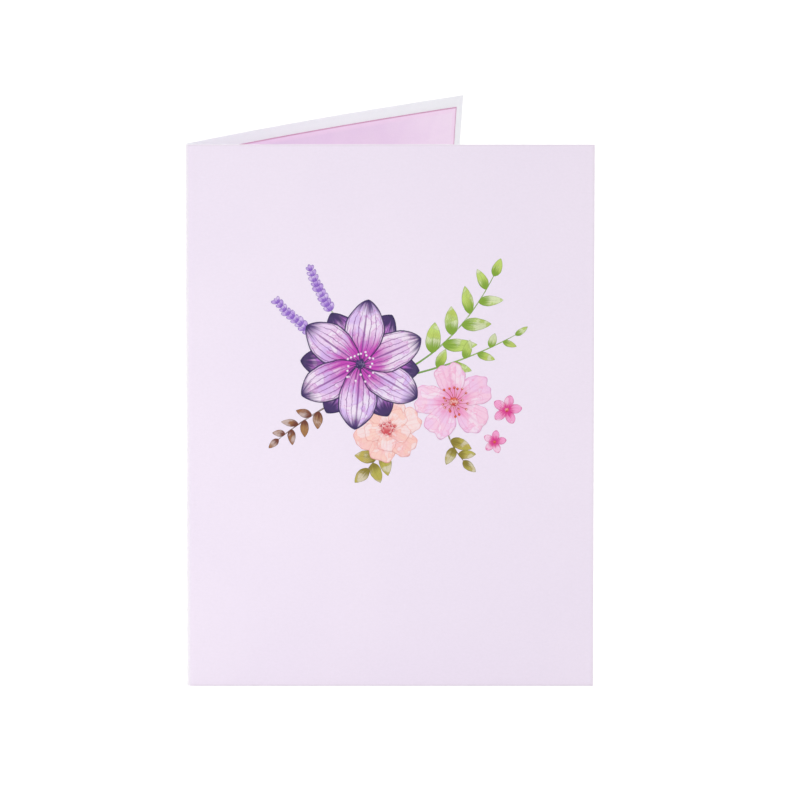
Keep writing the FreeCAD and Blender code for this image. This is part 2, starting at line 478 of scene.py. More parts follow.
def build_tooth():
    """Fibre felt: shares of two noises, one even and one stretched into short level fibres."""
    tree, given, out = new_group(
        "Paper tooth",
        {"Fineness": 2400.0, "Tone": 0.03},
        {"Brightness": "NodeSocketFloat", "Height": "NodeSocketFloat"},
    )
    where = place(tree, "ShaderNodeTexCoord").outputs["Object"]
    felt = noise(tree, where, calc(tree, "MULTIPLY", given["Fineness"], FELT_COARSER), 5.0)
    stretched = place(tree, "ShaderNodeMapping", {"Vector": where, "Scale": FIBRE_STRETCH})
    fibres = noise(tree, stretched.outputs[0], given["Fineness"], 2.0)
    both = calc(tree, "ADD", calc(tree, "MULTIPLY", felt, FELT_SHARE),
                calc(tree, "MULTIPLY", fibres, 1.0 - FELT_SHARE))
    swing = calc(tree, "MULTIPLY", calc(tree, "SUBTRACT", both, 0.5), given["Tone"])
    tree.links.new(calc(tree, "ADD", swing, 1.0), out["Brightness"])
    tree.links.new(both, out["Height"])
    return tree


def build_cut_distance():
    """How far a point of the flat sheet is from the nearest of its four cut edges, in metres."""
    tree, given, out = new_group(
        "Distance from the cut",
        {"Start": 0.0, "End": 0.3, "Foot": 0.0, "Head": 0.2},
        {"Distance": "NodeSocketFloat", "Along": "NodeSocketFloat"},
    )
    flat = place(tree, "ShaderNodeUVMap", uv_map="flat_sheet").outputs[0]
    parts = place(tree, "ShaderNodeSeparateXYZ", {0: flat}).outputs
    sides = calc(tree, "MINIMUM", calc(tree, "SUBTRACT", parts["X"], given["Start"]),
                 calc(tree, "SUBTRACT", given["End"], parts["X"]))
    ends = calc(tree, "MINIMUM", calc(tree, "SUBTRACT", parts["Y"], given["Foot"]),
                calc(tree, "SUBTRACT", given["Head"], parts["Y"]))
    tree.links.new(calc(tree, "MINIMUM", sides, ends), out["Distance"])
    tree.links.new(parts["X"], out["Along"])
    return tree


TOOTH = build_tooth()
CUT_DISTANCE = build_cut_distance()
print("groups:", TOOTH.name, "and", CUT_DISTANCE.name)

# %% [markdown]
# ## A paper to start from
# Every paper starts as the same plain shader, dull as uncoated stock is. At the end its colour
# is multiplied by the tooth's brightness, and the tooth's height goes in as a very low bump.


# %% Start and finish a paper
TOOTH_DEPTH = 0.06 * MM


def new_paper(name, roughness=0.62, shine=0.35):
    """A paper material without a colour yet, with its tree and its Principled shader."""
    material = bpy.data.materials.new(name)
    material.use_nodes = True
    tree = material.node_tree
    tree.nodes.clear()
    shader = place(tree, "ShaderNodeBsdfPrincipled")
    shader.inputs["Roughness"].default_value = roughness
    shader.inputs["Specular IOR Level"].default_value = shine
    place(tree, "ShaderNodeOutputMaterial", {"Surface": shader.outputs[0]})
    return material, tree, shader


def finish_paper(tree, shader, tint, tooth, bump=0.25):
    """Links the colour times the tooth's brightness, and the tooth as a low bump."""
    even = place(tree, "ShaderNodeCombineColor", {i: tooth["Brightness"] for i in range(3)})
    toned = blend(tree, 1.0, tint, even.outputs[0], "MULTIPLY")
    tree.links.new(toned, shader.inputs["Base Color"])
    relief = place(tree, "ShaderNodeBump",
                   {"Height": tooth["Height"], "Strength": bump, "Distance": TOOTH_DEPTH})
    tree.links.new(relief.outputs[0], shader.inputs["Normal"])


def beside_fold(tree, cut, share=0.5):
    """How far round the sheet a point is from the line at that share of the fold's arc."""
    line = LEAF_RUN + SPINE_RUN * share
    return calc(tree, "ABSOLUTE", calc(tree, "SUBTRACT", cut["Along"], line))


print("the fold's middle lies", round((LEAF_RUN + SPINE_RUN / 2) / MM, 2), "mm round the sheet")

# %% [markdown]
# ## The cover's finishes
# Outside, the card is a very pale lavender, printed edge to edge. Such a tint is never quite
# even: it clouds over some centimetres. It is rubbed paler on the fold, where the fibres were
# bent and the ink cracked. Along the cuts it is painted a trace greyer: painted shade where the
# cut face rolls away from the light. Inside, the stock is left white, with a trace of painted
# shade along the crease of the fold. The cut shows the bare core.

# %% Cover materials
LAVENDER = colour(245, 234, 249)
LAVENDER_DEEP = colour(243, 232, 248)
# The next grey is painted shade along the cuts.
EDGE_SHADE = colour(233, 222, 234)
WORN_FOLD = colour(250, 246, 250)
CARD_WHITE = colour(250, 253, 255)
# The next grey is painted shade in the fold's crease.
CREASE_SHADE = colour(232, 229, 234)
CORE_WHITE = colour(252, 251, 252)
CORE_FIBRE = colour(243, 240, 244)
cover_cuts = {"Start": 0.0, "End": SHEET_RUN, "Foot": 0.0, "Head": LEAF_HEIGHT}


def cover_outside():
    """Lavender clouded over centimetres, with painted shade by the cuts, rubbed pale on the fold.
    """
    material, tree, shader = new_paper("cover_lavender")
    where = place(tree, "ShaderNodeTexCoord").outputs["Object"]
    tooth = use(tree, TOOTH, {"Tone": 0.085})
    cut = use(tree, CUT_DISTANCE, cover_cuts)
    clouds = rise(tree, noise(tree, where, 16.0, 2.0), 0.25, 0.75)
    tint = blend(tree, clouds, LAVENDER, LAVENDER_DEEP)
    # Painted shade: greyer within about a millimetre of the cuts, where the face rolls away from
    # the light.
    edge_shade = fall(tree, cut["Distance"], 0.1 * MM, 1.1 * MM)
    tint = blend(tree, calc(tree, "MULTIPLY", edge_shade, 0.55), tint, EDGE_SHADE)
    cracks = rise(tree, noise(tree, where, 900.0, 4.0), 0.35, 0.65)
    on_fold = fall(tree, beside_fold(tree, cut, 0.45), 0.2 * MM, 1.5 * MM)
    broken = calc(tree, "ADD", calc(tree, "MULTIPLY", cracks, 0.5), 0.5)
    tint = blend(tree, calc(tree, "MULTIPLY", on_fold, broken), tint, WORN_FOLD)
    finish_paper(tree, shader, tint, tooth)
    return material


def cover_inside():
    """White stock with painted shade, a grey trace, along the inside of the fold."""
    material, tree, shader = new_paper("cover_white", roughness=0.66)
    tooth = use(tree, TOOTH, {"Tone": 0.07})
    cut = use(tree, CUT_DISTANCE, cover_cuts)
    # Painted shade: a grey trace along the inside of the fold, where shade falls in the crease.
    crease_shade = fall(tree, beside_fold(tree, cut), 0.3 * MM, 2.2 * MM)
    tint = blend(tree, calc(tree, "MULTIPLY", crease_shade, 0.6), CARD_WHITE, CREASE_SHADE)
    finish_paper(tree, shader, tint, tooth)
    return material


def cut_edge(name, core, fibre):
    """The core of the stock: bare and rough, in two tones that pass into each other."""
    material, tree, shader = new_paper(name, roughness=0.8, shine=0.2)
    where = place(tree, "ShaderNodeTexCoord").outputs["Object"]
    tooth = use(tree, TOOTH, {"Fineness": 5200.0, "Tone": 0.06})
    patches = rise(tree, noise(tree, where, 260.0, 3.0), 0.4, 0.7)
    finish_paper(tree, shader, blend(tree, patches, core, fibre), tooth, bump=0.3)
    return material


cover_finishes = [cover_outside(), cover_inside(), cut_edge("cover_core", CORE_WHITE, CORE_FIBRE)]
print("cover finishes:", [m.name for m in cover_finishes])

# %% [markdown]
# ## The cover
# The cover takes the place of its solid. Its outer face lies a tenth of a millimetre inside
# the solid's, because the ink of the picture gets that room, and the printed card stays
# exactly as thick as the plain one.

# %% Make the cover
COVER_STOCK = 0.35 * MM
INK_ROOM = 0.10 * MM

cover_sheet = closed_sheet(
    "cover_sheet",
    sheet_columns(0.0, SHEET_RUN),
    sheet_rows(0.0, LEAF_HEIGHT),
    INK_ROOM,
    COVER_STOCK,
    cover_finishes,
)
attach(cover_sheet, "root")
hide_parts("cover")

# %% [markdown]
# ## The insert
# A thinner sheet is glued inside both leaves, with a white margin of the cover round it. It is
# washed in pink-lilac that turns bluer towards the fold and paler towards the fore edge. The
# wash stops short of the cut and leaves a warmer band there. The cut is a dark rose, and a
# hair of that colour shows on the face, which draws the thin line round the sheet.

# %% Insert materials
GLUE_FILM = 0.03 * MM
INSERT_STOCK = 0.25 * MM
HEAD_MARGIN = 4.2 * MM
FORE_EDGE_MARGIN = 3.3 * MM
BY_FOLD = colour(239, 214, 244)
LILAC = colour(244, 220, 244)
BY_FORE_EDGE = colour(254, 235, 253)
CLOUD_LILAC = colour(232, 196, 240)
WARM_BAND = colour(255, 226, 250)
ROSE_LINE = colour(212, 154, 190)
ROSE_CORE = colour(182, 116, 154)
ROSE_FIBRE = colour(204, 148, 184)
insert_cuts = {"Start": FORE_EDGE_MARGIN, "End": SHEET_RUN - FORE_EDGE_MARGIN,
               "Foot": HEAD_MARGIN, "Head": LEAF_HEIGHT - HEAD_MARGIN}


def insert_face(name, with_line):
    """Pink-lilac wash: bluer by the fold, paler by the fore edge, clouded, warm by the cut."""
    material, tree, shader = new_paper(name)
    where = place(tree, "ShaderNodeTexCoord").outputs["Object"]
    tooth = use(tree, TOOTH, {"Tone": 0.08})
    cut = use(tree, CUT_DISTANCE, insert_cuts)
    from_fold = beside_fold(tree, cut)
    tint = blend(tree, rise(tree, from_fold, 12 * MM, 90 * MM), BY_FOLD, LILAC)
    tint = blend(tree, rise(tree, from_fold, 95 * MM, 145 * MM), tint, BY_FORE_EDGE)
    mottle = rise(tree, noise(tree, where, 80.0, 2.0), 0.3, 0.75)
    tint = blend(tree, calc(tree, "MULTIPLY", mottle, 0.18), tint, CLOUD_LILAC)
    warm = fall(tree, cut["Distance"], 1.2 * MM, 2.6 * MM)
    tint = blend(tree, calc(tree, "MULTIPLY", warm, 0.6), tint, WARM_BAND)
    if with_line:
        line = fall(tree, cut["Distance"], 0.25 * MM, 0.60 * MM)
        tint = blend(tree, calc(tree, "MULTIPLY", line, 0.9), tint, ROSE_LINE)
    finish_paper(tree, shader, tint, tooth)
    return material


insert_finishes = [insert_face("insert_glued_side", False), insert_face("insert_lilac", True),
                   cut_edge("insert_core", ROSE_CORE, ROSE_FIBRE)]
print("insert finishes:", [m.name for m in insert_finishes])

# %% [markdown]
# ## Lay the insert in the cover
# The insert is built by the same function as the cover, only deeper in the fold: past the
# cover's stock and an even film of glue. So it turns round the fold on a smaller circle.

# %% Make the insert
insert = closed_sheet(
    "insert_paper_sheet",
    sheet_columns(insert_cuts["Start"], insert_cuts["End"]),
    sheet_rows(insert_cuts["Foot"], insert_cuts["Head"]),
    COVER_STOCK + GLUE_FILM,
    COVER_STOCK + GLUE_FILM + INSERT_STOCK,
    insert_finishes,
)
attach(insert, "root")
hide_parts("insert_sheet")

# %% [markdown]
# ## The printed picture: how the ink is built
# A posy in watercolour style is printed on the middle of the front leaf. It could be painted
# inside the cover's material, but then every petal would have to be a formula of its own.
# Here each petal, leaf and stem is a little closed film of ink, a few thousandths of a
# millimetre thick, that lies on the leaf. It carries its own map: u runs across it and v
# from its foot to its tip, so that a wash can fade along it and veins can fan out. It also
# carries how far each point is from its outline, because watercolour dries darker there.


# %% Shapes of petals and leaves
def pointed(length, width, belly=0.5, point=0.8, bend=0.0, wave=0.0, seed=0.0, rows=22):
    """A petal or leaf with a pointed tip, growing upwards from its foot, in mm.

    Half width = width / 2 times v^a (1 - v)^b over that product's own peak, which lies at
    belly; point sets a + b, so a higher value makes a sharper tip. Two slow sines ripple the
    outline, and the middle line is a parabola that leaves the upright by bend at the tip.
    """
    v = 0.5 - 0.5 * np.cos(np.linspace(0.03, 0.985, rows) * math.pi)
    u, v = np.meshgrid(np.linspace(-1.0, 1.0, 11), v)
    a, b = 2 * point * belly, 2 * point * (1 - belly)
    peak = belly**a * (1 - belly) ** b
    ripple = 1 + wave * (np.sin(9 * v + seed) + 0.5 * np.sin(23 * v + 2 * seed + u))
    half = width / 2 * v**a * (1 - v) ** b / peak * ripple
    rim = np.minimum((1 - np.abs(u)) * half, (1 - v) * length * 0.4)
    return {"x": u * half + bend * length * v**2, "y": v * length,
            "u": u / 2 + 0.5, "v": v, "rim": rim}


def rounded(length, width, waist=0.35, notch=0.0, ruffle=0.0, seed=0.0, side=17):
    """A broad petal with a round, ruffled end, growing upwards from its foot, in mm.

    A square grid is bent into a disc, x = s sqrt(1 - t^2 / 2) and y = t sqrt(1 - s^2 / 2), so
    it has no pole. The disc is narrowed to waist at its foot, its rim swells by two sines of
    the angle, and a bell-shaped dent of depth notch pulls in the middle of its outer end.
    """
    s, t = np.meshgrid(np.linspace(-1.0, 1.0, side), np.linspace(-1.0, 1.0, side))
    disc_x, disc_y = s * np.sqrt(1 - t**2 / 2), t * np.sqrt(1 - s**2 / 2)
    out = np.hypot(disc_x, disc_y)
    angle = np.arctan2(disc_x, disc_y)
    swell = 1 + ruffle * out**2 * (np.sin(5 * angle + seed) + 0.5 * np.sin(11 * angle + 2 * seed))
    dent = notch * np.exp(-((disc_x / 0.2) ** 2)) * np.clip(disc_y, 0, 1) ** 3
    reach = np.clip((disc_y * swell + 1) / 2 - dent, 0, None)
    x = disc_x * swell * width / 2 * (waist + (1 - waist) * reach**0.8)
    y = reach * length
    fan = np.arctan2(x, y + 0.25 * length)
    return {"x": x, "y": y, "u": 0.5 + fan / 1.3, "v": np.hypot(x, y) / length,
            "rim": (1 - out) * min(length, width) * 0.5}


print("a broad petal has", rounded(10.0, 8.0)["x"].size, "points")

# %% [markdown]
# ## Stems as brush strokes
# A stem follows a curve that three control points pull into shape. Its brush stroke gets
# thinner along the way, as when a brush is lifted.


# %% Curves and strokes
def on_curve(points, t):
    """Place and direction at t on a curve with three control points, in mm.

    The curve is (1-t)^2 p + 2 t (1-t) q + t^2 r, and its derivative gives the direction.
    """
    p, q, r = (np.array(point) for point in points)
    return ((1 - t) ** 2 * p + 2 * t * (1 - t) * q + t**2 * r,
            2 * (1 - t) * (q - p) + 2 * t * (r - q))


def stroke(points, start, end, rows=24):
    """A stem: a brush stroke whose width goes evenly from start to end, in mm.

    The width is laid off at right angles to the curve, along its direction turned by 90
    degrees.
    """
    t = np.linspace(0.0, 1.0, rows)[:, None]
    middle, along = on_curve(points, t)
    side = along[:, ::-1] * (1, -1) / np.linalg.norm(along, axis=1)[:, None]
    u = np.linspace(-1.0, 1.0, 5)
    half = (start + (end - start) * t) / 2
    grid = middle[:, None, :] + side[:, None, :] * (half * u)[:, :, None]
    whole = (rows, u.size)
    return {"x": grid[..., 0], "y": grid[..., 1], "u": np.broadcast_to(u / 2 + 0.5, whole),
            "v": np.broadcast_to(t, whole), "rim": half * (1 - np.abs(u))}


print("a stroke has", stroke([(0, 0), (1, 1), (2, 3)], 0.75, 0.3)["x"].size, "points")

# %% [markdown]
# ## Lay the shapes on the leaf as films of ink
# Where two films lie in one plane, neither is on top, and the place turns black. So every film
# gets a layer of its own, and the petals of a ring are tilted by a hair, so that each lies
# over one neighbour and under the other.

# %% Lay shapes and rings of petals
FILM = 0.003 * MM
LAYER_STEP = 0.0075 * MM
NEXT_UP = 0.15
PINWHEEL = 0.0025 * MM


def laid(shape, at=(0.0, 0.0), turn=0.0, layer=0.0, finish=0, tint=0.5, tilt=0.0):
    """The shape turned clockwise by turn degrees and moved to a spot on the leaf.

    layer counts the films below it. tilt lifts one side and sinks the other by a fraction of
    a layer, so that petals of one ring overlap all the way round like a pinwheel.
    """
    c, s = math.cos(math.radians(turn)), math.sin(math.radians(turn))
    placed = dict(shape)
    placed["x"] = at[0] + shape["x"] * c + shape["y"] * s
    placed["y"] = at[1] - shape["x"] * s + shape["y"] * c
    across = shape["u"] * 2 - 1
    placed["depth"] = INK_ROOM - FILM - layer * LAYER_STEP - tilt * across * PINWHEEL
    placed["tint"] = np.full(across.shape, tint)
    placed["finish"] = finish
    return placed


def ring(make, count, at, start, layer, finish, draw, wobble=5.0):
    """count petals round one spot, each a whole turn divided by count further on."""
    petals = []
    for i in range(count):
        petal = make(draw.uniform(0, 6.3))
        turn = start + i * 360 / count + draw.uniform(-wobble, wobble)
        petals.append(laid(petal, at, turn, layer, finish, draw.uniform(0, 1), tilt=1.0))
    return petals


print("film", FILM / MM, "mm thick; room for", int((INK_ROOM - FILM) / LAYER_STEP), "layers")

# %% [markdown]
# ## Close the films
# A sheet without a thickness would have no inside. So each shape is laid twice, a film apart,
# and a wall joins the two borders. All films of one plant or blossom make one piece.


# %% Close and join the films
def shell(rows, columns):
    """Faces of one film: its top grid, and the wall from the top's border to its underside."""
    number = np.arange(rows * columns).reshape(rows, columns)
    top = np.stack([number[:-1, :-1], number[:-1, 1:], number[1:, 1:], number[1:, :-1]], axis=-1)
    border = once_round(number)
    on = np.roll(border, -1)
    below = rows * columns
    return top.reshape(-1, 4), np.stack([border, border + below, on + below, on], axis=-1)


def print_film(name, shapes, finishes):
    """Closes every shape to a thin film on the front leaf and joins them to one piece."""
    places, flat, rims, tints, faces, finish = [], [], [], [], [], []
    first = 0
    for shape in shapes:
        rows, columns = shape["x"].shape
        along = LEAF_WIDTH - (shape["x"] * MM - cover_low.x)
        for below in (0.0, FILM):
            film = sheet_place(along, shape["y"] * MM, shape["depth"] + below)
            places.append(film.reshape(-1, 3))
        flat += [np.stack([shape["u"], shape["v"]], axis=-1).reshape(-1, 2)] * 2
        rims += [shape["rim"].ravel()] * 2
        tints += [shape["tint"].ravel()] * 2
        top, walls = shell(rows, columns)
        under = top[:, ::-1] + rows * columns
        made = np.concatenate([top, under, walls])
        faces.append(made + first)
        finish.append(np.full(len(made), shape["finish"]))
        first += 2 * rows * columns
    piece = put_in_mesh(name, np.concatenate(places), np.concatenate(faces), "petal",
                        np.concatenate(flat), finishes, np.concatenate(finish))
    for label, values in (("rim", rims), ("tint", tints)):
        layer = piece.data.attributes.new(label, "FLOAT", "POINT")
        layer.data.foreach_set("value", np.concatenate(values).astype(np.float32))
    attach(piece, "root")
    return piece


print("a petal's film has", sum(len(part) for part in shell(22, 11)), "faces without its underside")

# %% [markdown]
# ## Watercolour: the wash
# Printed watercolour keeps the marks of the brush: the wash is uneven, a second colour drifts
# through it, water pushes the pigment away in pale clouds, and a puddle leaves a tide mark
# where it dried. Stronger colour is dropped in at the foot or the tip while it is wet.

# %% Wash, flush and tip
PAPER_UNDER_INK = colour(250, 243, 251)


def marked_wash(tree, given, where, tint):
    """The wash with its accent, pale clouds, tide marks and the paper's grain.

    A tide mark is the line where the cloud noise passes one value.
    """
    drift = rise(tree, noise(tree, where, 130.0, 3.0), 0.4, 0.62)
    drift = calc(tree, "MULTIPLY", drift, given["Accent strength"])
    paint = blend(tree, drift, given["Wash"], given["Accent"])
    paint = blend(tree, calc(tree, "MULTIPLY", tint, 0.16), paint, given["Flush"])
    clouds = noise(tree, where, 210.0, 4.0)
    pale = calc(tree, "MULTIPLY", rise(tree, clouds, 0.44, 0.6), given["Pallor"])
    paint = blend(tree, pale, paint, PAPER_UNDER_INK)
    shore = fall(tree, calc(tree, "ABSOLUTE", calc(tree, "SUBTRACT", clouds, 0.5)), 0.0, 0.03)
    grain = rise(tree, noise(tree, where, 1300.0, 2.0), 0.45, 0.75)
    marks = calc(tree, "ADD", calc(tree, "MULTIPLY", shore, given["Tide"]),
                 calc(tree, "MULTIPLY", grain, 0.14))
    return blend(tree, marks, paint, given["Flush"])


def flush_and_tip(tree, given, u, v, tint, paint):
    """Stronger colour at the foot and the tip, each an S-curve of v.

    A noise that is stretched along v makes both streaky.
    """
    brush = place(tree, "ShaderNodeCombineXYZ", {
        0: calc(tree, "MULTIPLY", u, 9.0), 1: calc(tree, "MULTIPLY", v, 1.4),
        2: calc(tree, "MULTIPLY", tint, 40.0)}).outputs[0]
    streak = calc(tree, "MULTIPLY", calc(tree, "SUBTRACT", noise(tree, brush, 1.0, 3.0), 0.5), 0.7)
    foot = calc(tree, "SUBTRACT", calc(tree, "ADD", given["Flush reach"], streak), v)
    foot = calc(tree, "MULTIPLY", rise(tree, foot, -0.16, 0.24), given["Flush strength"])
    paint = blend(tree, foot, paint, given["Flush"])
    tip = calc(tree, "SUBTRACT", calc(tree, "ADD", v, calc(tree, "MULTIPLY", streak, 0.6)),
               calc(tree, "SUBTRACT", 1.0, given["Tip reach"]))
    tip = calc(tree, "MULTIPLY", rise(tree, tip, -0.08, 0.12), given["Tip strength"])
    return blend(tree, tip, paint, given["Tip"])


print("paper under the ink:", [round(v, 2) for v in PAPER_UNDER_INK[:3]])

# %% [markdown]
# ## Watercolour: veins, rim and the group
# Veins are drawn when the wash is dry, and pigment settles along the outline. One node group
# holds all of it, for petals and for leaves, and each paint mixes its own colours in.

# %% Veins and the watercolour group
PAINT_SOCKETS = {
    "Wash": (0.8, 0.7, 0.9, 1.0), "Flush": (0.5, 0.1, 0.5, 1.0), "Tip": (0.2, 0.1, 0.4, 1.0),
    "Line": (0.1, 0.05, 0.2, 1.0), "Rim": (0.1, 0.05, 0.2, 1.0), "Accent": (0.7, 0.5, 0.9, 1.0),
    "Accent strength": 0.5, "Flush reach": 0.4, "Flush strength": 1.0, "Tip reach": 0.2,
    "Tip strength": 0.0, "Veins": 7.0, "Vein width": 0.16, "Vein strength": 0.6, "Slant": 0.0,
    "Rim width": 0.35, "Rim strength": 0.6, "Pallor": 0.5, "Tide": 0.35,
}


def veined(tree, given, u, v, waver, paint):
    """Veins and a midrib, which fade towards the tip.

    A vein is a line where the distance of u from the midrib, times the vein count, passes a
    whole number. On leaves v times the slant is added first, so the veins run slantwise.
    """
    outward = calc(tree, "ABSOLUTE", calc(tree, "SUBTRACT", u, 0.5))
    slid = calc(tree, "ADD", calc(tree, "MULTIPLY", outward, given["Veins"]),
                calc(tree, "MULTIPLY", v, given["Slant"]))
    step = calc(tree, "FRACT", calc(tree, "ADD", slid, calc(tree, "MULTIPLY", waver, 0.5)))
    gap = calc(tree, "MINIMUM", step, calc(tree, "SUBTRACT", 1.0, step))
    vein = fall(tree, gap, calc(tree, "MULTIPLY", given["Vein width"], 0.3), given["Vein width"])
    vein = calc(tree, "MAXIMUM", vein, fall(tree, outward, 0.01, 0.035))
    fade = calc(tree, "SUBTRACT", 1.0, calc(tree, "MULTIPLY", rise(tree, v, 0.55, 1.0), 0.6))
    vein = calc(tree, "MULTIPLY", calc(tree, "MULTIPLY", vein, fade), given["Vein strength"])
    return blend(tree, vein, paint, given["Line"])


def build_watercolour():
    """Wash, flush and tip, veins, and a rim by the distance from the outline in mm."""
    tree, given, out = new_group("Watercolour", PAINT_SOCKETS, {"Color": "NodeSocketColor"})
    flat = place(tree, "ShaderNodeUVMap", uv_map="petal").outputs[0]
    parts = place(tree, "ShaderNodeSeparateXYZ", {0: flat}).outputs
    u, v = parts["X"], parts["Y"]
    rim = place(tree, "ShaderNodeAttribute", attribute_name="rim").outputs["Fac"]
    tint = place(tree, "ShaderNodeAttribute", attribute_name="tint").outputs["Fac"]
    where = place(tree, "ShaderNodeTexCoord").outputs["Object"]
    waver = calc(tree, "SUBTRACT", noise(tree, where, 420.0, 2.0), 0.5)

    paint = marked_wash(tree, given, where, tint)
    paint = flush_and_tip(tree, given, u, v, tint, paint)
    paint = veined(tree, given, u, v, waver, paint)
    near = calc(tree, "ADD", rim, calc(tree, "MULTIPLY", waver, 0.25))
    edge = fall(tree, near, calc(tree, "MULTIPLY", given["Rim width"], 0.25), given["Rim width"])
    edge = calc(tree, "MULTIPLY", edge, given["Rim strength"])
    tree.links.new(blend(tree, edge, paint, given["Rim"]), out["Color"])
    return tree


WATERCOLOUR = build_watercolour()
print("group:", WATERCOLOUR.name, "with", len(PAINT_SOCKETS), "sockets")

# %% [markdown]
# ## A paint
# A paint is the watercolour group with its own colours and amounts, on the paper's own tooth.


# %% Make a paint
PAINT_ROUGHNESS = 0.58


def paint(name, wash, flush, line, tip=None, rim=None, accent=None, **amounts):
    """A paint: the watercolour group with its colours and amounts, on the paper's own tooth."""
    material, tree, shader = new_paper(name, roughness=PAINT_ROUGHNESS)
    sockets = {"Wash": colour(*wash), "Flush": colour(*flush), "Line": colour(*line),
               "Tip": colour(*(tip or line)), "Rim": colour(*(rim or line)),
               "Accent": colour(*(accent or wash))}
    for label, amount in amounts.items():
        sockets[label.replace("_", " ").capitalize()] = amount
    tooth = use(tree, TOOTH, {"Tone": 0.10})
    finish_paper(tree, shader, use(tree, WATERCOLOUR, sockets)["Color"], tooth)
    return material


print("paint dries to a roughness of", PAINT_ROUGHNESS)

# %% [markdown]
# ## Stems and leaves
# Leaves and stems go down first, because the blossoms overlap them. A stem is one brush
# stroke. Leaves sit along it left and right by turns and get smaller towards its end, and
# each is turned away from the stem's own direction there.


# %% A stem with leaves
def clockwise(ahead):
    """A direction as degrees clockwise from the upright."""
    return math.degrees(math.atan2(ahead[0], ahead[1]))


def leafy(points, count, length, width, spread, draw, layer=1.0, first=0.25, taper=0.45):
    """A stem and its leaves: count leaves, left and right by turns, and one at the tip."""
    shapes = [laid(stroke(points, 0.75, 0.3), finish=1, layer=layer - 1.0)]
    for i, t in enumerate(np.linspace(first, 1.0, count + 1)):
        at, ahead = on_curve(points, t)
        side = 0.0 if i == count else (spread if i % 2 else -spread)
        size = 1.0 - taper * t
        long = length * size * draw.uniform(0.9, 1.1)
        wide = width * size * draw.uniform(0.9, 1.1)
        leaf = pointed(long, wide, belly=0.42, point=0.75, bend=draw.uniform(-0.12, 0.12),
                       wave=0.03, seed=draw.uniform(0, 6))
        shapes.append(laid(leaf, tuple(at), clockwise(ahead) + side, layer + i * NEXT_UP,
                           tint=draw.uniform(0, 1)))
    return shapes


SEED = 11
draw = np.random.default_rng(SEED)
print("petals and leaves vary by the seed", SEED)

# %% [markdown]
# ## Greens and browns
# A leaf's paint has fine veins that slant off its midrib, a soft dark rim and a second colour
# that drifts through the wash. Stems and buds are too small for veins.

# %% Paints for leaves, stems and buds
LEAF_LINES = {"veins": 7.0, "slant": -9.0, "vein_width": 0.14, "vein_strength": 0.28,
              "rim_width": 0.3, "rim_strength": 0.4, "pallor": 0.4, "tide": 0.3}
STEM_LINES = {"vein_strength": 0.0, "rim_width": 0.15}
LIME = paint("paint_lime_green", (202, 224, 120), (132, 168, 56), (108, 136, 50),
             accent=(178, 190, 74), **LEAF_LINES)
LIME_STEM = paint("paint_lime_stem", (160, 190, 104), (120, 160, 74), (104, 134, 66),
                  **STEM_LINES)
OLIVE = paint("paint_olive", (190, 182, 84), (138, 124, 44), (98, 88, 38),
              accent=(206, 176, 92), **LEAF_LINES)
OLIVE_STEM = paint("paint_olive_stem", (140, 130, 66), (116, 104, 46), (90, 80, 38),
                   **STEM_LINES)
BROWN = paint("paint_brown", (160, 108, 68), (110, 56, 42), (74, 40, 32),
              accent=(184, 142, 86), **LEAF_LINES)
BROWN_STEM = paint("paint_brown_stem", (120, 92, 62), (96, 66, 44), (74, 46, 34),
                   **STEM_LINES)
BUD = paint("paint_lavender_bud", (206, 176, 234), (140, 92, 200), (104, 62, 164),
            flush_reach=0.5, flush_strength=0.9, vein_strength=0.0, rim_width=0.25, pallor=0.3)
print("leaf paints:", [m.name for m in (LIME, OLIVE, BROWN, BUD)])

# %% [markdown]
# ## The sprigs
# A sprig is placed by the three control points of its stem, in millimetres from the leaf's
# middle and its foot. Two lime branches reach up to the right, olive leaves hang below the
# blossoms, and a brown sprig points to the lower left.

# %% Lime branch, olive leaves and brown sprig
lime = leafy([(6, 119), (26, 130), (38, 154)], 7, 14.0, 6.4, 48, draw)
lime += leafy([(7, 117), (28, 122), (46, 132)], 6, 9.5, 4.4, 46, draw, layer=2.3)
print_film("ink_lime_branch", lime, [LIME, LIME_STEM])

olive = leafy([(2, 97), (-3, 88), (-8, 82)], 3, 11.0, 5.6, 52, draw, first=0.5, taper=0.3)
olive += leafy([(20, 101), (21, 92), (27, 85)], 3, 9.5, 4.8, 50, draw, first=0.5, taper=0.3)
print_film("ink_olive_leaves", olive, [OLIVE, OLIVE_STEM])

brown = leafy([(-18, 108), (-30, 102), (-41, 93)], 6, 8.5, 4.4, 50, draw, first=0.35)
print_film("ink_brown_sprig", brown, [BROWN, BROWN_STEM])

# %% [markdown]
# ## Lavender
# Two spikes of lavender stand at the upper left. Their buds sit in threes, one to each side
# and one ahead, and get smaller towards the tip.

# %% Lavender
BUD_SPREAD = 38


def lavender(points, draw):
    """A stem with buds in threes along its outer half."""
    shapes = [laid(stroke(points, 0.55, 0.3), finish=1)]
    for t in np.linspace(0.42, 1.0, 9):
        at, ahead = on_curve(points, t)
        for side in (-1.0, 1.0, 0.0):
            size = (1.25 - 0.5 * t) * draw.uniform(0.85, 1.1)
            bud = pointed(3.4 * size, 1.8 * size, belly=0.55, point=0.6, rows=10)
            shapes.append(laid(bud, tuple(at), clockwise(ahead) + side * BUD_SPREAD,
                               1.0 + len(shapes) * NEXT_UP, tint=draw.uniform(0, 1)))
    return shapes


spikes = lavender([(-14, 132), (-24, 142), (-29, 156)], draw)
spikes += lavender([(-18, 126), (-32, 134), (-41, 144)], draw)
print_film("ink_lavender", spikes, [BUD, LIME_STEM])

# %% [markdown]
# ## Stamens and crowded middles
# Stamens are fine strokes of uneven length with a dot at the end, and dots lie over strokes.
# The middle of a blossom is crowded with spots, which the golden angle spreads evenly, as on
# the head of a sunflower.

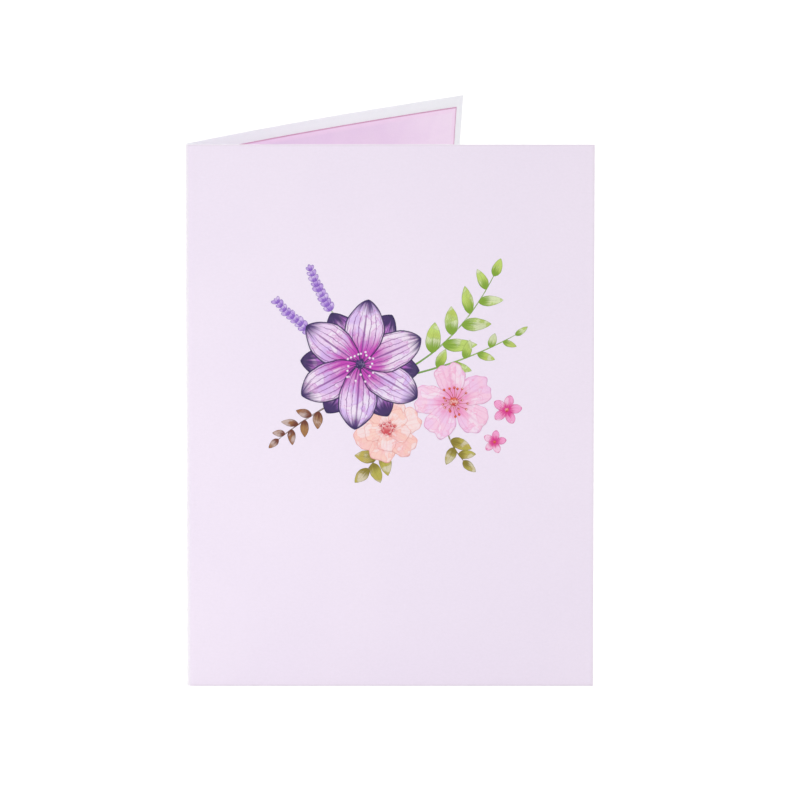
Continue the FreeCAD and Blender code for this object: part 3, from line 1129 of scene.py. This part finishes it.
# %% Stamens and middles
GOLDEN_ANGLE = 2.39996
STAMEN_BEND = 0.25


def away(at, far, side):
    """The point that lies far from at, in the direction side, clockwise from the upright."""
    return (at[0] + far * math.sin(side), at[1] + far * math.cos(side))


def stamens(at, count, reach, dot, layer, draw, finish_line, finish_dot):
    """count strokes from the middle outwards, each to its own length, with a dot at the end."""
    shapes = []
    top = layer + (count + 1) * NEXT_UP
    for i, turn in enumerate(np.arange(count) * 360 / count + draw.uniform(-9, 9, count)):
        far = reach * draw.uniform(0.45, 1.0)
        side = math.radians(turn)
        end = away(at, far, side)
        bent = away(at, 0.5 * far, side + STAMEN_BEND)
        shapes.append(laid(stroke([at, bent, end], 0.28, 0.18, rows=6), finish=finish_line,
                           layer=layer + i * NEXT_UP))
        seed = draw.uniform(0, 6)
        spot = rounded(dot, dot, waist=0.9, ruffle=0.08, seed=seed, side=7)
        shapes.append(laid(spot, end, turn, top + i * NEXT_UP / 2, finish_dot, draw.uniform(0, 1)))
    return shapes


def middle(at, size, layer, finish, draw, count=12):
    """The crowded middle of a blossom: small spots on a sunflower spiral over one round spot."""
    base = rounded(size, size, waist=0.95, ruffle=0.06, side=11)
    shapes = [laid(base, (at[0], at[1] - size / 2), 0.0, layer, finish, 0.4)]
    for i in range(count):
        far, side = size * 0.46 * math.sqrt((i + 0.5) / count), i * GOLDEN_ANGLE
        spot = rounded(size * 0.26, size * 0.26, waist=0.9, ruffle=0.1, seed=i, side=7)
        shapes.append(laid(spot, away(at, far, side), math.degrees(side),
                           layer + (i + 1) * NEXT_UP / 2, finish, draw.uniform(0, 1)))
    return shapes


print("stamens bend by", round(math.degrees(STAMEN_BEND), 1), "degrees")

# %% [markdown]
# ## The pale blossoms
# A soft coral blossom of two rings lies lowest. A pale pink one of five notched petals lies
# beside it, and two small pink stars fill the gap at the right. Petals of a ring are copies of
# one shape with a new ripple each.

# %% Paints for the pale blossoms
CORAL = paint("paint_coral", (253, 214, 204), (243, 150, 142), (236, 140, 136),
              accent=(252, 202, 214), flush_reach=0.35, flush_strength=0.8, veins=9.0,
              vein_strength=0.18, rim_width=0.4, rim_strength=0.5)
CORAL_HEART = paint("paint_coral_heart", (240, 136, 120), (214, 84, 92), (190, 66, 80),
                    flush_reach=0.6, vein_strength=0.0, rim_width=0.3)
PALE = paint("paint_pale_pink", (251, 214, 234), (240, 134, 190), (222, 130, 190),
             accent=(240, 204, 246), flush_reach=0.4, flush_strength=0.8, veins=9.0,
             vein_strength=0.24, rim_width=0.4, rim_strength=0.5)
ORANGE = paint("paint_orange_red", (238, 120, 84), (206, 58, 52), (170, 44, 50),
               flush_reach=0.5, vein_strength=0.0, rim_width=0.2)
PINK = paint("paint_hot_pink", (250, 176, 220), (222, 44, 140), (200, 40, 130),
             flush_reach=0.45, flush_strength=0.95, veins=6.0, vein_strength=0.4,
             rim_width=0.25, rim_strength=0.6)
print("pale paints:", [m.name for m in (CORAL, PALE, ORANGE, PINK)])

# %% Coral, pale pink and pink star blossoms
coral_at = (-1.0, 97.0)
coral = ring(lambda k: rounded(13.0, 12.5, 0.4, 0.05, 0.04, k), 6, coral_at, 10, 2.0, 0, draw)
coral += ring(lambda k: rounded(8.8, 9.0, 0.4, 0.04, 0.05, k), 5, coral_at, 40, 3.0, 0, draw)
coral += middle(coral_at, 5.0, 3.6, 1, draw)
print_film("ink_coral_blossom", coral, [CORAL, CORAL_HEART])

pale_at = (23.5, 107.0)
pale = ring(lambda k: rounded(15.0, 14.5, 0.32, 0.09, 0.045, k), 5, pale_at, -8, 4.0, 0, draw)
pale += stamens(pale_at, 18, 5.6, 1.0, 4.7, draw, 1, 1)
pale += middle(pale_at, 3.2, 9.2, 1, draw, 8)
print_film("ink_pale_blossom", pale, [PALE, ORANGE])

stars = []
for star_at, size in (((43.0, 104.0), 5.6), ((38.5, 92.0), 4.4)):
    stars += ring(lambda k: pointed(size, size * 0.62, 0.55, 0.7, seed=k), 5,
                  star_at, 12, 3.0, 0, draw)
    stars += middle(star_at, size * 0.26, 3.8, 1, draw, 5)
print_film("ink_pink_stars", stars, [PINK, ORANGE])

# %% [markdown]
# ## The violet blossom
# The big violet blossom gives the posy its weight. Its upper petals are pale lilac with dark
# veins and a dark rim, and between them stand the tips of a second ring that is nearly black
# violet at its ends.

# %% Violet paints and blossom
DEEP = paint("paint_deep_violet", (182, 132, 220), (150, 40, 158), (58, 30, 98), tip=(50, 34, 88),
             rim=(46, 32, 80), accent=(206, 90, 196), flush_reach=0.55, flush_strength=0.85,
             tip_reach=0.25, tip_strength=0.95, veins=7.0, vein_width=0.13, vein_strength=0.7,
             rim_width=0.75, rim_strength=0.95, pallor=0.3)
VIOLET = paint("paint_violet", (222, 196, 246), (196, 48, 178), (122, 40, 140), tip=(62, 40, 104),
               rim=(52, 36, 88), accent=(246, 226, 250), accent_strength=0.9, flush_reach=0.4,
               flush_strength=0.95, tip_reach=0.15, tip_strength=0.95, veins=7.0, vein_width=0.11,
               vein_strength=0.8, rim_width=0.8, rim_strength=1.0, pallor=0.6)
NIGHT = paint("paint_night_violet", (84, 50, 128), (48, 26, 84), (34, 18, 62), flush_reach=0.6,
              vein_strength=0.0, rim_width=0.2, pallor=0.15)
CREAM = paint("paint_cream", (250, 240, 246), (226, 176, 226), (150, 90, 170), flush_reach=0.3,
              vein_strength=0.0, rim_width=0.2)

violet_at = (-11.0, 121.0)
violet = ring(lambda k: pointed(22.0, 13.0, 0.5, 0.74, wave=0.03, seed=k), 6,
              violet_at, 34, 5.5, 0, draw, 3)
violet += ring(lambda k: pointed(24.5, 14.5, 0.52, 0.74, 0.03 * math.sin(k), 0.035, k), 6,
               violet_at, 4, 6.5, 1, draw, 4)
violet += stamens(violet_at, 20, 6.2, 1.0, 7.0, draw, 2, 3)
violet += middle(violet_at, 3.4, 11.8, 2, draw, 9)
print_film("ink_violet_blossom", violet, [DEEP, VIOLET, NIGHT, CREAM])
